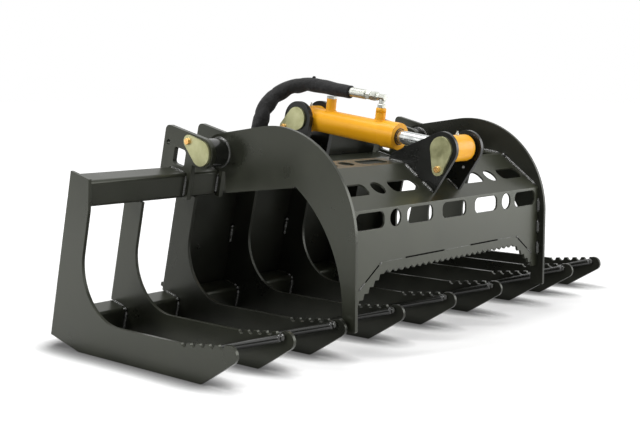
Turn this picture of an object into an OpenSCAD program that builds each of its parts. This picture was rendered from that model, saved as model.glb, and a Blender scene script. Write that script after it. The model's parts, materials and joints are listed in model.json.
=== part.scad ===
// Mini skid steer grapple: nine plate tines on a leaning rear frame of two
// square tubes, and one hydraulic clamp with a perforated, saw-toothed front.
// X runs across, Y from the tine tips to the mounting side, Z is up.
// The origin is on the ground, in the middle of the tines' flat undersides.

/* [Tines] */
// Spacing of the five inner tines
pitch_wide = 212; // [200:1:225]
// Spacing of the two outer tines on each side
pitch_narrow = 167; // [155:1:180]
// Thickness of a tine plate
tine_t = 8; // [6:0.5:10]
// Height of a tine's lower bar
bar_h = 77; // [70:1:84]
// Radius of the inside corner between bar and upright
corner_r = 125; // [100:1:140]
// Depth of an inner tine's upright
upright_w = 64; // [50:1:75]
// Depth of an end plate's upright
end_w = 80; // [72:1:95]
// Depth of an end plate at its top
end_top_w = 68; // [60:1:72]
// How far an end plate rises past the top tube
end_rise = 6; // [2:1:12]
// Radius of the rounded tine tip
nose_r = 20; // [14:1:22]
// Height of the tip's centre
nose_z = 75; // [70:1:80]
// Distance from the tip's centre to the front of the flat underside
chin_len = 86; // [75:1:100]
// Length of the flat underside
flat_len = 416; // [380:1:450]
// Length of the chamfered heel behind the flat
heel_run = 107; // [90:1:130]
// Number of round grip notches in a tip
notch_n = 5; // [3:1:5]
// Spacing of the grip notches
notch_pitch = 28.5; // [25:0.5:30]
// Radius of a grip notch
notch_r = 9; // [7:0.5:10]
// Depth of a grip notch
notch_depth = 8.5; // [5:0.5:9]
// Distance from the tip's centre to the first grip notch
notch_start = 23; // [20:1:30]
// Length of the rising grip edge behind the tip's centre
grip_len = 152; // [148:1:170]

/* [Tip rods] */
// Diameter of a round wear rod
tip_rod_d = 17; // [14:1:18]
// Length of a wear rod
tip_rod_l = 205; // [160:1:215]
// Forward rise of a wear rod in degrees
tip_rod_tilt = 16; // [13:0.5:18]
// Height of a wear rod's front end
tip_rod_z = 82; // [78:1:86]
// Distance from the tip's centre back to a wear rod's front end
tip_rod_set = 8; // [6:1:16]
// Edge rounding of a wear rod
tip_rod_edge = 4; // [2:0.5:6]

/* [Rear frame] */
// Backward lean of the rear frame in degrees
lean = 13.7; // [10:0.1:16]
// Side of the square tubes
tube_w = 63.5; // [50:0.5:70]
// Wall of the square tubes
tube_wall = 6; // [4:0.5:8]
// Outer corner radius of the square tubes
tube_r = 9; // [8:0.5:12]
// Clear height between the two square tubes
tube_gap = 270.5; // [240:0.5:290]
// Thickness of the rear mounting plate
mount_t = 8; // [6:0.5:12]
// Half width of the mounting plate's lower part
mount_low_w = 424; // [421:1:427]
// Clearance of the mounting plate's upper part from the inner pivot ears
ear_clear = 18; // [12:1:48]
// Height of the mounting plate's bottom edge up the lean
mount_v0 = 20; // [12:1:40]
// Height of the shoulder of the mounting plate up the lean
mount_v1 = 366; // [330:1:368]
// Height of the mounting plate's top edge up the lean
mount_v2 = 458; // [430:1:460]
// Corner chamfer of the mounting plate
mount_cut = 40; // [20:1:60]
// Height of the latch ledge above the mounting plate's bottom edge
ledge_up = 26; // [20:1:34]
// Reach of the latch ledge behind the mounting plate
ledge_reach = 52; // [50:1:60]
// Thickness of the latch ledge
ledge_t = 10; // [8:1:14]
// Width of a latch slot in the ledge
latch_w = 92; // [70:1:110]
// Depth of a latch slot from front to back
latch_d = 28; // [20:1:32]
// Distance of a latch slot from the middle
latch_x = 106; // [90:1:120]
// Distance of a latch slot behind the mounting plate
latch_in = 10; // [6:1:12]
// Length of one hook lip
lip_len = 150; // [100:1:160]
// Distance of a hook lip's inner end from the middle
lip_x = 170; // [165:1:175]
// Reach of a hook lip behind the mounting plate
lip_reach = 34; // [25:1:40]
// Thickness of a hook lip
lip_t = 10; // [8:1:14]
// Drop of a hook lip over its reach
lip_drop = 14; // [8:1:18]

/* [Pivot ears] */
// Thickness of a pivot ear and of a cylinder base ear
ear_t = 12.7; // [10:0.1:14]
// Clear gap between an inner and an outer pivot ear
ear_gap = 94; // [90:0.5:98]
// Distance of the clamp pivot in front of the frame's rear plane
pivot_u = 105; // [98:0.5:112]
// Height of the clamp pivot up the lean
pivot_v = 460; // [450:0.5:470]
// Radius of a pivot ear's round front
ear_r = 37; // [33:0.5:40]
// Reach of a pivot ear behind the frame's rear plane
ear_back = 34; // [25:1:40]
// How far a pivot ear's rear leg reaches down the top tube
ear_drop = 25; // [15:1:27]
// Depth of a pivot ear's front leg
ear_leg = 14; // [10:1:18]
// Radius of a pivot ear's outer corners
ear_corner = 14; // [8:1:18]
// Width and height of the window in a pivot ear
ear_win = 42; // [34:1:44]
// Corner radius of the ear window
ear_win_r = 8; // [5:0.5:12]
// Hole for a lifting hook in a pivot ear
ear_hole_d = 14; // [10:0.5:18]

/* [Pins] */
// Diameter of the pivot pins
pin_d = 31.75; // [28:0.25:33]
// Radial running clearance on a pin
pin_fit = 0.1; // [0.05:0.01:0.1]
// How far a pin stands out of the last ear
pin_out = 6; // [4:0.5:9]
// Thickness of a pin's locking flag
flag_t = 6; // [4:0.5:7]
// Radius of a flag's large end
flag_r = 31; // [26:0.5:32]
// Radius of a flag's small end
flag_end_r = 16; // [13:0.5:18]
// Distance from pin to locking bolt
flag_reach = 50; // [47:0.5:53]
// Diameter of a locking bolt
bolt_d = 8; // [6:0.5:9]
// Width across flats of a locking bolt's head
bolt_af = 14; // [12:0.5:16]
// Height of a locking bolt's head
bolt_h = 6; // [4:0.5:8]
// Diameter of a grease nipple
zerk_d = 8; // [6:0.5:10]
// Height of a grease nipple
zerk_h = 10; // [7:0.5:13]

/* [Clamp] */
// Thickness of a clamp arm plate
arm_t = 9; // [7:0.5:11]
// Distance of a clamp arm's centre plane inside the nearest tine's
arm_side = 20.5; // [18:0.5:23]
// Distance of a clamp arm's centre plane inside the middle of its hub
arm_off = 4.2; // [2:0.1:6]
// Diameter of the clamp's pivot hubs
hub_d = 70; // [62:1:74]
// Side play of a hub between its two ears
hub_play = 1; // [0.5:0.25:1.5]
// Radius of a clamp arm's head round the pivot
arm_head_r = 46; // [43:0.5:50]
// Radius of a clamp arm's outer bend
arm_out_r = 252; // [245:1:256]
// Height of the outer bend's top above the pivot
arm_top = 69; // [64:1:74]
// Clearance of a clamp arm's tip in front of the wear rods
arm_clear = 2; // [1:0.5:4]
// Width of a clamp arm at its tip
arm_tip_w = 38; // [34:1:42]
// Radius of a clamp arm's inner bend
arm_in_r = 337; // [334:1:340]
// Lip between a clamp arm's inner bend and its lower edge
arm_lip = 5; // [3:0.5:8]
// Angle of the inner bend's upper end in degrees
arm_in_end = 125; // [123:0.5:127]
// Height of a clamp arm's tip above the ground
arm_tip_z = 63; // [55:1:72]
// Edge rounding of a clamp arm's tip
arm_tip_r = 6; // [3:0.5:9]
// Distance of a clamp arm's heel in front of the pivot
arm_heel_y = 19; // [14:1:24]
// Distance of a clamp arm's heel below the pivot
arm_heel_z = 98; // [92:1:104]
// Drop of a clamp arm's lower edge from its front end to its heel
arm_slope = 26; // [20:1:32]

/* [Perforated sheet] */
// Thickness of the bent sheet
sheet_t = 5; // [4:0.5:6]
// Setback of the sheet from the clamp arms' front edge
sheet_in = 20; // [16:1:24]
// Depth of the lower bend below the clamp pivot
bend_drop = 116; // [112:1:120]
// Slope of the middle facet in degrees
slope_mid = 37; // [34:0.5:40]
// Length of the middle facet
len_mid = 143; // [135:1:150]
// Slope of the rear facet in degrees
slope_back = 8; // [5:0.5:12]
// Length of the rear facet
len_back = 75; // [68:1:82]
// Length of a slot
slot_l = 103; // [90:1:108]
// Height of a slot
slot_h = 39; // [32:1:41]
// Corner radius of a slot
slot_r = 15; // [10:0.5:16]
// Diameter of a round hole
hole_d = 42; // [34:1:46]
// Place of the second slot, as a share of half the sheet's width
slot_in_share = 0.356; // [0.346:0.002:0.366]
// Place of the round hole, as a share of half the sheet's width
hole_share = 0.596; // [0.588:0.002:0.604]
// Place of the last slot, as a share of half the sheet's width
slot_out_share = 0.83; // [0.82:0.002:0.84]
// Distance of the front row below the lower bend
row_down = 26; // [24:1:32]
// Distance of the middle row above the lower bend
row_mid = 66; // [60:1:74]
// Distance of the rear row behind the upper bend
row_back = 38; // [32:1:44]

/* [Saw-toothed blade] */
// Thickness of the blade
blade_t = 6; // [4:0.5:8]
// Height of the tooth points along the top of the arch
arch_z = 180; // [172:1:190]
// Distance from the arch's foot to the end of its level top
arch_run = 94; // [84:1:104]
// Height of the blade's lower ends
blade_z = 116; // [108:1:124]
// Distance of the arch's foot from the end of the sheet
foot_in = 24; // [18:1:30]
// Height of the blade's upper edge above the tooth points
blade_h = 28; // [22:1:34]
// Number of teeth along the top of the arch
tooth_n = 24; // [12:1:30]
// Number of teeth on each side of the arch
side_n = 5; // [3:1:7]
// Depth of a tooth
tooth_h = 8; // [5:0.5:11]

/* [Cylinder clevis] */
// Radius of a clevis ear round the rod pin
clevis_r = 43; // [42:0.5:46]
// Thickness of a clevis ear
clevis_t = 10; // [8:0.5:12]
// Clear gap between the clevis ears
clevis_gap = 96; // [90:1:100]
// Distance from the clamp pivot forward to the rod pin
rod_pin_y = 410; // [404:1:416]
// Height of the rod pin above the clamp pivot
rod_pin_z = 8; // [4:1:12]
// Radius of a clevis ear's rear end
tail_r = 24; // [20:0.5:28]
// Distance of the clevis ear's front foot from the lower bend
toe_set = 28; // [20:1:36]

/* [Cylinder] */
// Distance of the base pin in front of the frame's rear plane
base_u = 17; // [14:0.5:20]
// Height of the base pin above the clamp pivot, up the lean
base_rise = 53.5; // [50:0.5:57]
// Radius of a base ear round the base pin
base_ear_r = 46.5; // [42:0.5:48]
// Distance from the middle to a base ear's inner face
base_ear_x = 39.3; // [39:0.1:42]
// Outside diameter of the cross tubes at both ends
eye_d = 66; // [62:0.5:68]
// Length of the cross tubes
eye_l = 76; // [70:1:77]
// Radial clearance round the rod pin
eye_slack = 8.2; // [7.8:0.1:9]
// Outside diameter of the barrel
barrel_d = 63.5; // [60:0.5:66]
// Wall of the barrel
barrel_wall = 6.35; // [5:0.05:8]
// Distance from the base pin to the front of the gland
gland_end = 312; // [300:1:320]
// Length of the gland collar
gland_l = 48; // [40:1:56]
// Outside diameter of the gland collar
gland_d = 70; // [68:0.5:74]
// Thickness of the barrel's closed end
barrel_cap = 10; // [7:0.5:12]
// Diameter of the piston rod
rod_d = 34.9; // [30:0.1:36]
// Radial running clearance of rod and piston
slide_fit = 0.1; // [0.05:0.01:0.15]
// Length of the piston
piston_l = 30; // [24:1:34]
// Distance of the piston from the gland when extended
piston_gap = 2; // [1:0.5:3]
// Outside diameter of the rod wiper
wiper_d = 42; // [40:0.5:48]
// Height of the rod wiper
wiper_h = 4; // [3:0.5:6]
// Diameter of a port boss
port_d = 27; // [24:0.5:30]
// Distance from the base pin to the rear port
port_back = 72; // [66:1:80]
// Distance from the base pin to the front port
port_front = 243; // [236:1:248]
// Height of the front port boss above the barrel
port_h = 20; // [14:0.5:22]
// Height of the rear port boss above the barrel
port_h2 = 32; // [28:0.5:34]
// Width across flats of the port fittings
fit_af = 24; // [20:0.5:27]
// Height of a port fitting's hexagon
fit_h = 12; // [9:0.5:15]
// Diameter of the fitting pipe
pipe_d = 17; // [14:0.5:19]
// Bend radius of the elbow's centre line
elbow_r = 22; // [18:0.5:24]
// Diameter of the crimped ferrule
ferrule_d = 25; // [21:0.5:28]
// Length of the crimped ferrule
ferrule_l = 83.5; // [74:0.5:88]
// Diameter of the hose sleeve
sleeve_d = 40; // [32:1:42]

/* [Hose bracket] */
// Width of the hose bracket
shelf_w = 60; // [50:1:70]
// Thickness of the hose bracket
shelf_t = 6; // [4:0.5:8]
// Depth of the hose bracket below the mounting plate's top edge
shelf_drop = 40; // [36:1:44]
// Reach of the hose bracket behind the mounting plate
shelf_reach = 80; // [75:1:90]

/* [Hidden] */
$fn = 72;
// Overrun of every cut
over = 1;
// Arcs run past the straight lines they blend with by this
kiss = 0.05;
tine_xs = [for (i = [-4 : 4]) sign(i) * (min(abs(i), 2) * pitch_wide + max(abs(i) - 2, 0) * pitch_narrow)];
end_x = tine_xs[8];
tube_len = 2 * end_x - tine_t;

// Side view: the tip's centre lies at nose_y, the ground at zero height.
nose_y = -2;
flat_y0 = nose_y + chin_len;
flat_y1 = flat_y0 + flat_len;
origin_y = (flat_y0 + flat_y1) / 2;
heel = [flat_y1 + heel_run, heel_run * tan(lean)];
// u runs back and v up along the leaning frame, both from the heel
function uv(u, v) = heel + [u * cos(lean) - v * sin(lean), u * sin(lean) + v * cos(lean)];
low_top = tube_w;
top_v0 = tube_w + tube_gap;
top_v1 = top_v0 + tube_w;

// Unit vector at an angle
function dir(a) = [cos(a), sin(a)];
// Tangent point on a circle, seen from point q
function touch(q, c, r, s) =
    let (d = norm(c - q), a = atan2(c.y - q.y, c.x - q.x) + s * asin(r / d))
    q + sqrt(d * d - r * r) * dir(a);
// Normal of the straight edge that touches two circles
function belt(c1, r1, c2, r2, s) =
    dir(atan2(c2.y - c1.y, c2.x - c1.x) + s * acos((r1 - r2) / norm(c2 - c1)));

pivot = uv(-pivot_u, pivot_v);
base_v = pivot_v + base_rise;
base_pin = uv(-base_u, base_v);
rod_pin = pivot + [-rod_pin_y, rod_pin_z];
cyl_l = norm(rod_pin - base_pin);
cyl_tilt = atan2(base_pin.y - rod_pin.y, base_pin.x - rod_pin.x);

arm_x = tine_xs[6] - arm_side;
hub_c = arm_x + arm_off;
ear_x = hub_c - ear_gap / 2 - ear_t;
mount_top_w = ear_x - ear_clear;
ear_in_c = ear_x + ear_t / 2;
ear_out_c = ear_in_c + ear_t + ear_gap;
ear_out_face = ear_out_c + ear_t / 2;
hub_l = ear_gap - 2 * hub_play;
flag_bolt_in = 10;
// Angle between a clamp pin's flag and the leaning frame's u direction
flag_turn = 20;
ear_lift = 1;

// Clamp side view
arm_back = nose_y + tip_rod_set - arm_clear;
arm_front = arm_back - arm_tip_w;
lip_z = pivot.y - arm_heel_z + arm_slope;
arm_o = [arm_front + arm_out_r, pivot.y + arm_top - arm_out_r];
arm_i = [arm_back + arm_in_r, lip_z + arm_lip - arm_in_r * sin(arm_in_end)];
sheet_w = 2 * arm_x - arm_t;
slot_x1 = slot_in_share * sheet_w / 2;
hole_x = hole_share * sheet_w / 2;
slot_x2 = slot_out_share * sheet_w / 2;
foot_w = sheet_w / 2 - foot_in;
arch_w = foot_w - arch_run;
sheet_y = arm_front + sheet_in;
s0 = [sheet_y, blade_z];
s1 = [sheet_y, pivot.y - bend_drop];
s2 = s1 + len_mid * dir(slope_mid);
s3 = s2 + len_back * dir(slope_back);

eye_ear_c = base_ear_x + ear_t / 2;
clevis_c = (clevis_gap + clevis_t) / 2;
barrel_z0 = eye_d / 2 - 3;
gland_z = gland_end - gland_l;
bore_d = barrel_d - 2 * barrel_wall;
piston_z = gland_z - piston_gap - piston_l;
port_top = barrel_d / 2 + port_h;
fit_top = port_top + fit_h;
pipe_up = 5;
rear_clear = 1.2;
line_y = fit_top + pipe_up + elbow_r;
ferrule_z = port_front - elbow_r;

// The sleeve's free route: across, back and up from the origin
hose_route = [
    [0, 29, 592], [0, 51, 595], [0, 74, 598], [0, 97, 601], [0, 119, 605],
    [0, 140, 608], [-2, 160, 611], [-5, 180, 612], [-10, 199, 611], [-17, 217, 608],
    [-26, 233, 602], [-36, 247, 594], [-47, 258, 584], [-58, 266, 572], [-69, 271, 559],
    [-79, 274, 545], [-87, 275, 530], [-93, 275, 515], [-97, 276, 500], [-99, 278, 485]
];
hose_end = hose_route[len(hose_route) - 1];
hose_n = 12;

// ---- helpers ----
// From the side view's own zero to the origin
module seat() translate([0, -origin_y, 0]) children();
// A plate across X whose outline is drawn as (back, up)
module plate(x, t) translate([x - t / 2, 0, 0]) rotate([90, 0, 90]) linear_extrude(t) children();
// Places (u, v) outlines of the leaning frame
module leaned() seat() translate([0, heel.x, heel.y]) rotate([lean, 0, 0]) children();
// A round bar across X
module xbar(p, x0, l, d) translate([x0, p.x, p.y]) rotate([0, 90, 0]) cylinder(d = d, h = l);
// Rounded rectangle with its lower left corner at zero
module rrect(w, h, r) {
    translate([r, 0]) square([w - 2 * r, h]);
    translate([0, r]) square([w, h - 2 * r]);
    for (x = [r, w - r], y = [r, h - r]) translate([x, y]) circle(r);
}
// What rounding takes off a corner that points along (sx, sy)
module corner_off(p, r, sx, sy) translate(p) difference() {
    translate([sx > 0 ? -r : -over, sy > 0 ? -r : -over]) square(r + over);
    translate([-sx * r, -sy * r]) circle(r + kiss);
}
// Corner of the two lines that touch a circle at angles a and b
function corner(c, r, a, b) = c + r / cos((b - a) / 2) * dir((a + b) / 2);
// What lies outside a circle between angles a and b
module beyond(c, r, a, b) difference() {
    far = 4 * r;
    polygon([c, c + far * dir(a), c + far * dir((a + b) / 2), c + far * dir(b)]);
    translate(c) circle(r + kiss, $fn = 144);
}
module hexagon(af) circle(d = af / cos(30), $fn = 6);

// ---- tines ----
module tine_outline(w) {
    nose = [nose_y, nose_z];
    chin = [flat_y0, 0];
    k = [heel.x - (w + (bar_h - heel.y) * sin(lean)) / cos(lean), bar_h];
    c = [heel.x - (w + corner_r + (bar_h + corner_r - heel.y) * sin(lean)) / cos(lean), bar_h + corner_r];
    polygon([
        touch(chin, nose, nose_r - kiss, 1), chin, [flat_y1, 0], heel, uv(0, top_v0), uv(-w, top_v0),
        k, [nose_y + grip_len, bar_h], nose + [0, nose_r - kiss], nose
    ]);
    translate(nose) circle(nose_r);
    difference() {
        polygon([[c.x, bar_h - over], k + [over, -over], c + (corner_r + over) * dir(lean), c]);
        translate(c) circle(corner_r + kiss, $fn = 144);
    }
}
// Round notches along the rising grip edge
module grip_notches() {
    rise = nose_z + nose_r - bar_h;
    for (i = [0 : notch_n - 1]) {
        y = notch_start + i * notch_pitch;
        translate([nose_y + y, bar_h + rise * (1 - y / grip_len) + notch_r - notch_depth]) circle(notch_r);
    }
}
module inner_tine(i) color([0.13, 0.13, 0.12]) seat() plate(tine_xs[i], tine_t) difference() {
    tine_outline(upright_w);
    grip_notches();
    polygon([uv(-tube_w, -tube_w), uv(tube_w, -tube_w), uv(tube_w, tube_w), uv(-tube_w, tube_w)]);
}
module end_tine(i) color([0.13, 0.13, 0.12]) seat() plate(tine_xs[i], tine_t) difference() {
    union() {
        tine_outline(end_w);
        polygon([uv(0, top_v0), uv(0, top_v1 + end_rise), uv(-end_top_w, top_v1 + end_rise), uv(-end_w, top_v0)]);
    }
    grip_notches();
}
module wear_rod() rotate_extrude() {
    square([tip_rod_d / 2 - tip_rod_edge, tip_rod_l]);
    translate([0, tip_rod_edge]) square([tip_rod_d / 2, tip_rod_l - 2 * tip_rod_edge]);
    for (y = [tip_rod_edge, tip_rod_l - tip_rod_edge])
        translate([tip_rod_d / 2 - tip_rod_edge, y]) circle(tip_rod_edge);
}
// Wear rods on the chosen sides of one tine
module tip_rods(i, sides) color([0.16, 0.16, 0.15]) seat() for (s = sides)
    translate([tine_xs[i] + s * (tine_t + tip_rod_d) / 2, nose_y + tip_rod_set, tip_rod_z])
        rotate([-90 - tip_rod_tilt, 0, 0]) wear_rod();

// ---- rear frame ----
module square_tube(v) color([0.14, 0.14, 0.13]) leaned() plate(0, tube_len) translate([-tube_w, v]) difference() {
    rrect(tube_w, tube_w, tube_r);
    translate([tube_wall, tube_wall])
        rrect(tube_w - 2 * tube_wall, tube_w - 2 * tube_wall, tube_r - tube_wall);
}
module mount_plate() color([0.14, 0.14, 0.13]) leaned() {
    ledge_w = mount_low_w - mount_cut;
    translate([0, mount_t, 0]) rotate([90, 0, 0]) linear_extrude(mount_t) polygon([
        [-ledge_w, mount_v0], [ledge_w, mount_v0],
        [mount_low_w, mount_v0 + mount_cut], [mount_low_w, mount_v1], [mount_top_w, mount_v1],
        [mount_top_w, mount_v2 - mount_cut], [mount_top_w - mount_cut, mount_v2],
        [mount_cut - mount_top_w, mount_v2], [-mount_top_w, mount_v2 - mount_cut],
        [-mount_top_w, mount_v1], [-mount_low_w, mount_v1], [-mount_low_w, mount_v0 + mount_cut]
    ]);
    translate([0, mount_t, mount_v0 + ledge_up]) linear_extrude(ledge_t) difference() {
        translate([-ledge_w, 0]) square([2 * ledge_w, ledge_reach]);
        for (s = [-1, 1]) translate([s * latch_x - latch_w / 2, latch_in]) square([latch_w, latch_d]);
    }
    for (s = [-1, 1]) plate(s * (lip_x + lip_len / 2 - mount_cut / 2), lip_len - mount_cut) polygon([
        [mount_t, mount_v2], [mount_t, mount_v2 - lip_t], [mount_t + lip_reach, mount_v2 - lip_t - lip_drop],
        [mount_t + lip_reach, mount_v2 - lip_drop]
    ]);
}

// ---- pivot ears ----
lock = [-pivot_u, pivot_v] + flag_reach * dir(flag_turn);
module pivot_ear(x) color([0.13, 0.13, 0.12]) leaned() plate(x, ear_t) {
    p = [-pivot_u, pivot_v];
    top = pivot_v + ear_r;
    low = pivot_v - ear_r;
    difference() {
        polygon([
            [p.x - ear_r, top], [ear_back, top], [ear_back, top_v1 - ear_drop], [0, top_v1 - ear_drop],
            [0, top_v1], [-tube_w, top_v1], [-tube_w, top_v0], [-tube_w - ear_leg, top_v0],
            [-tube_w - ear_leg, low], [p.x - ear_r, low]
        ]);
        beyond(p, ear_r, 90, 180);
        beyond(p, ear_r, 180, 270);
        translate(p) circle(d = pin_d + 2 * pin_fit);
        translate(lock) circle(d = bolt_d);
        corner_off([ear_back, top], ear_corner, 1, 1);
        corner_off([ear_back, top_v1 - ear_drop], ear_corner, 1, -1);
        translate([-ear_win_r - ear_win, low - ear_corner])
            rrect(ear_win, ear_win, ear_win_r);
        translate([ear_back / 2, top - ear_win]) circle(d = ear_hole_d);
    }
}
module base_ear(s) color([0.13, 0.13, 0.12]) leaned() plate(s * eye_ear_c, ear_t) {
    p = [-base_u, base_v];
    r = base_ear_r - kiss;
    difference() {
        union() {
            translate(p) circle(base_ear_r);
            polygon([
                [p.x - r, base_v], [-tube_w, top_v1], [0, top_v1], [0, mount_v2 + ear_lift],
                [p.x + r, mount_v2 + ear_lift], [p.x + r, base_v]
            ]);
        }
        translate(p) circle(d = pin_d + 2 * pin_fit);
        translate(p + flag_reach * dir(base_flag_a - lean)) circle(d = bolt_d);
    }
}

// ---- pins, flags and bolts ----
// Outline of a locking flag, its bolt end turned to angle a
module flag_outline(a) difference() {
    c = flag_reach * dir(a);
    n1 = belt([0, 0], flag_r, c, flag_end_r, 1);
    n2 = belt([0, 0], flag_r, c, flag_end_r, -1);
    union() {
        circle(flag_r);
        translate(c) circle(flag_end_r);
        polygon([
            (flag_r - kiss) * n1, c + (flag_end_r - kiss) * n1, c + (flag_end_r - kiss) * n2, (flag_r - kiss) * n2
        ]);
    }
    translate(c) circle(d = bolt_d);
}
// A pin from its flag at x0 running by l towards the s side
module flag_pin(p, a, x0, l, s) color([0.55, 0.52, 0.34]) seat() {
    xbar(p, s > 0 ? x0 : x0 - l, l, pin_d);
    plate(x0 - s * flag_t / 2, flag_t) translate(p) flag_outline(a);
}
module lock_bolt(p, a, x0, s) color([0.75, 0.6, 0.35]) seat() translate([x0, p.x, p.y] + flag_reach * [0, cos(a), sin(a)])
    rotate([0, -s * 90, 0]) {
        translate([0, 0, flag_t]) linear_extrude(bolt_h) hexagon(bolt_af);
        translate([0, 0, -flag_bolt_in]) cylinder(d = bolt_d, h = flag_bolt_in + flag_t + bolt_h / 2);
    }
clamp_flag_a = lean + flag_turn;
base_flag_a = -28;
rod_flag_a = -80;

// ---- hose bracket ----
shelf_v = mount_v2 - shelf_drop;
bracket_u = (hose_end.y + origin_y - heel.x) * cos(lean) + (hose_end.z - heel.y) * sin(lean);
bracket_v = (hose_end.z - heel.y) * cos(lean) - (hose_end.y + origin_y - heel.x) * sin(lean);
module hose_bracket() color([0.14, 0.14, 0.13]) leaned() difference() {
    union() {
        translate([hose_end.x - shelf_w / 2, mount_t, shelf_v]) cube([shelf_w, shelf_reach, shelf_t]);
        for (s = [-1, 1]) plate(hose_end.x + s * (shelf_w - shelf_t) / 2, shelf_t)
            polygon([[mount_t, shelf_v], [mount_t + shelf_reach, shelf_v], [mount_t, shelf_v - shelf_w]]);
    }
    translate([hose_end.x, bracket_u, shelf_v - over]) cylinder(d = pipe_d, h = shelf_t + 2 * over);
}
module bulkhead_fitting() color([0.72, 0.72, 0.70]) leaned() translate([hose_end.x, bracket_u, 0]) {
    translate([0, 0, shelf_v + shelf_t]) linear_extrude(fit_h) hexagon(fit_af);
    translate([0, 0, shelf_v - fit_h]) cylinder(d = pipe_d, h = bracket_v - shelf_v + fit_h);
    translate([0, 0, shelf_v - fit_h / 2]) linear_extrude(fit_h / 2) hexagon(fit_af);
}

// ---- clamp ----
module arm_outline() {
    n = belt(arm_o, arm_out_r, pivot, arm_head_r, 1);
    na = atan2(n.y, n.x);
    b = arm_i + arm_in_r * dir(arm_in_end);
    heel_low = pivot - [arm_heel_y, arm_heel_z];
    lip = b + [arm_lip, -arm_lip];
    difference() {
        polygon([
            [arm_front, arm_tip_z], corner(arm_o, arm_out_r, na, 180), corner(pivot, arm_head_r, 0, na),
            corner(pivot, arm_head_r, -90, 0), pivot - [arm_heel_y, arm_head_r],
            heel_low, lip + (lip - heel_low) / 50, [arm_back, max(arm_i.y, arm_tip_z + 2 * arm_tip_r)],
            [arm_back, arm_tip_z]
        ]);
        beyond(arm_o, arm_out_r, na, 180);
        beyond(pivot, arm_head_r, 0, na);
        beyond(pivot, arm_head_r, -90, 0);
        intersection() {
            translate(arm_i) circle(arm_in_r + kiss, $fn = 180);
            polygon([
                arm_i - [0, arm_tip_w], arm_i - [2 * arm_in_r, arm_tip_w], [arm_i.x - 2 * arm_in_r, b.y + 3 * arm_lip],
                b + 3 * (b - lip), lip + 3 * (lip - b)
            ]);
        }
        translate(pivot) circle(d = hub_d);
        corner_off([arm_front, arm_tip_z], arm_tip_r, -1, -1);
        corner_off([arm_back, arm_tip_z], arm_tip_r, 1, -1);
    }
}
module clamp_arm(s) color([0.15, 0.15, 0.14]) seat() plate(s * arm_x, arm_t) arm_outline();
module clamp_hub(s) color([0.15, 0.15, 0.14]) seat() difference() {
    xbar(pivot, s * hub_c - hub_l / 2, hub_l, hub_d);
    xbar(pivot, s * hub_c - hub_l / 2 - over, hub_l + 2 * over, pin_d + 2 * pin_fit);
}
// The sheet's outer line, and the same line one sheet thickness further in
n1 = dir(90 + 90);
n2 = dir(slope_mid + 90);
n3 = dir(slope_back + 90);
sheet_line = [s0, s1, s2, s3];
sheet_back = [
    s3 - sheet_t * n3, s2 - sheet_t * (n2 + n3) / (1 + n2 * n3),
    s1 - sheet_t * (n1 + n2) / (1 + n1 * n2), sheet_line[0] - sheet_t * n1
];
// Cuts one row of slots and round holes through a facet that starts at p
module hole_row(p, a, up, middle) translate([0, p.x, p.y]) rotate([a, 0, 0]) translate([0, up, -sheet_t - over])
    linear_extrude(sheet_t + 2 * over) {
        for (x = middle ? [0, -slot_x1, slot_x1, -slot_x2, slot_x2] : [-slot_x1, slot_x1, -slot_x2, slot_x2])
            translate([x - slot_l / 2, -slot_h / 2]) rrect(slot_l, slot_h, slot_r);
        for (x = [-hole_x, hole_x]) translate([x, 0]) circle(d = hole_d);
    }
side_a = atan2(arch_z - blade_z, foot_w - arch_w);
// What the arch and its blade take out of the sheet
module arch() {
    foot = foot_w + blade_h / sin(side_a) + over / tan(side_a);
    hip = arch_w + blade_h * tan(side_a / 2);
    polygon([[-foot, blade_z - over], [-hip, arch_z + blade_h], [hip, arch_z + blade_h], [foot, blade_z - over]]);
}
module clamp_sheet() color([0.17, 0.17, 0.16]) seat() difference() {
    plate(0, sheet_w) polygon(concat(sheet_line, sheet_back));
    hole_row(s1 - [0, row_down], 90, 0, true);
    hole_row(s1, slope_mid, row_mid, false);
    hole_row(s2, slope_back, row_back, true);
    translate([0, sheet_y + sheet_t + over, 0]) rotate([90, 0, 0]) linear_extrude(sheet_t + 2 * over) arch();
}
// Blade: a trapezoid arch with saw teeth along its inner edge
module saw_blade() color([0.17, 0.17, 0.16]) seat() translate([0, sheet_y + blade_t, 0]) rotate([90, 0, 0])
    linear_extrude(blade_t) {
    pitch = 2 * arch_w / tooth_n;
    foot = [foot_w, blade_z];
    hip = [arch_w, arch_z];
    out = tooth_h * dir(90 - side_a);
    right_side = [for (i = [0 : side_n - 1]) each
        [foot + (hip - foot) * i / side_n, foot + (hip - foot) * (i + 0.5) / side_n + out]];
    right_edge = concat(right_side, [hip]);
    top_edge = [for (i = [0 : tooth_n - 1]) each
        [[arch_w - (i + 0.5) * pitch, arch_z + tooth_h], [arch_w - (i + 1) * pitch, arch_z]]];
    left_edge = [for (i = [len(right_side) - 1 : -1 : 0]) [-right_side[i].x, right_side[i].y]];
    end_z = blade_z + blade_h / cos(side_a) - foot_in * tan(side_a);
    polygon(concat(right_edge, top_edge, left_edge, [
        [-sheet_w / 2, blade_z], [-sheet_w / 2, end_z], [-arch_w - blade_h * tan(side_a / 2), arch_z + blade_h],
        [arch_w + blade_h * tan(side_a / 2), arch_z + blade_h], [sheet_w / 2, end_z], [sheet_w / 2, blade_z]
    ]));
}
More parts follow.
